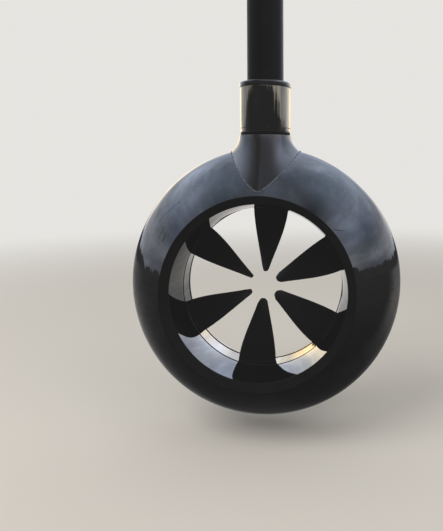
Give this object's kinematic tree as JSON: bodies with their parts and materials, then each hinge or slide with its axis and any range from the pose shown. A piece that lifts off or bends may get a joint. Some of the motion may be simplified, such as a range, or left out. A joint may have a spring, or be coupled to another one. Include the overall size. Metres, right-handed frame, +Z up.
{
  "type": "hubless rim-driven ship propeller",
  "caption": "Polished nozzle ring on a black pole, with blades that point inward from a turning rim and leave the middle open.",
  "frame": {"origin": "centre of the pole's flat top face", "axes": "+Z up along the pole, out of its top face; the propeller's axis runs along Y at z = -0.440 m and the water enters from the -Y side"},
  "size_m": [0.376, 0.115, 0.628],
  "materials": {
    "polished_steel": "mirror-polished stainless steel with fine scratches",
    "black_paint": "satin black coating",
    "black_rubber": "dull black rubber",
    "black_resin": "black casting resin",
    "black_blade": "satin black composite"
  },
  "bodies": {
    "housing": {"pole_cap": "black_paint", "pole_tube": "black_paint", "collar_bead": "polished_steel", "collar_sleeve": "polished_steel", "collar_seal": "black_rubber", "neck_fairing": "polished_steel", "ring_shell": "polished_steel", "stator_core": "black_resin", "front_lip": "black_rubber", "rear_lip": "black_rubber", "intake_nozzle": "polished_steel", "outlet_nozzle": "polished_steel", "front_bearing": "black_resin", "rear_bearing": "black_resin"},
    "rotor": {"rotor_rim": "polished_steel", "blade_1": "black_blade", "blade_2": "black_blade", "blade_3": "black_blade", "blade_4": "black_blade", "blade_5": "black_blade", "blade_6": "black_blade"}
  },
  "joints": [
    {"name": "rotor_spin", "type": "hinge", "parent": "housing", "child": "rotor", "pos_m": [0, -0.0165, -0.44], "axis": [0, 1, 0], "continuous": true}
  ]
}
